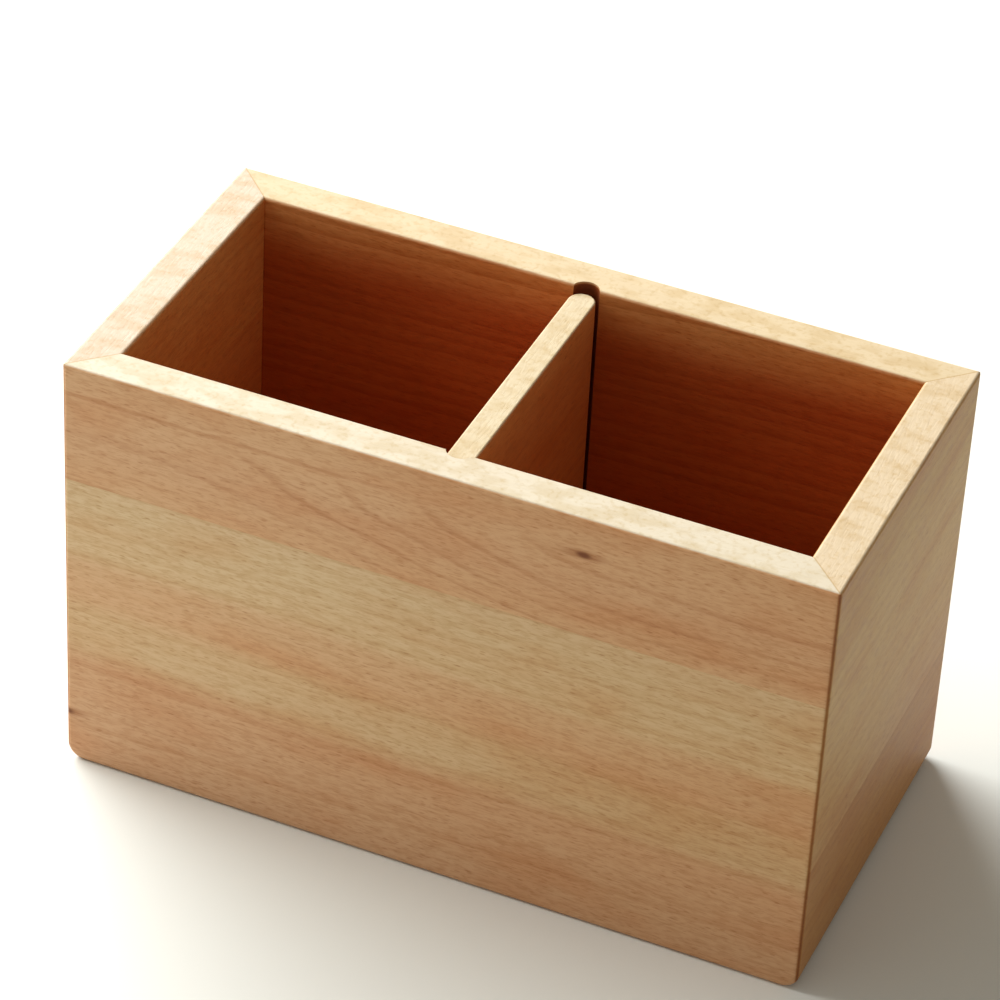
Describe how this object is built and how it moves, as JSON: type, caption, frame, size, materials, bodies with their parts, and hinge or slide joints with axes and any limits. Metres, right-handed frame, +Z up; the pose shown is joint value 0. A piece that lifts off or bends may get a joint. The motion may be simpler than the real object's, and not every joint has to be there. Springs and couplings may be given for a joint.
{
  "type": "pen stand",
  "caption": "Open-topped rectangular beech pen stand with mitred walls, a captured base board and a lift-out divider that makes left and right compartments.",
  "frame": {"origin": "centre of the footprint, on the surface that the stand rests on", "axes": "+Z up, +X along the length to the right, -Y towards the front wall"},
  "size_m": [0.18, 0.09, 0.11],
  "materials": {
    "beech_pink": "sanded and clear oiled",
    "beech_pale": "sanded and clear oiled",
    "beech_brown": "sanded and clear oiled",
    "beech_base": "sanded and clear oiled",
    "beech_divider": "sanded and clear oiled",
    "beech_tongue": "sanded and clear oiled"
  },
  "bodies": {
    "box": {"front_wall_lower_stave": "beech_pale", "front_wall_upper_stave": "beech_pink", "right_wall_lower_stave": "beech_brown", "right_wall_upper_stave": "beech_pale", "back_wall_lower_stave": "beech_brown", "back_wall_upper_stave": "beech_pale", "left_wall_lower_stave": "beech_pale", "left_wall_upper_stave": "beech_pink", "base_board": "beech_base", "tongue_front_left": "beech_tongue", "tongue_front_right": "beech_tongue", "tongue_back_right": "beech_tongue", "tongue_back_left": "beech_tongue"},
    "divider": {"divider": "beech_divider"}
  },
  "joints": [
    {"name": "divider_lift", "type": "slide", "parent": "box", "child": "divider", "axis": [0, 0, 1], "range_m": [0, 0.105]}
  ]
}
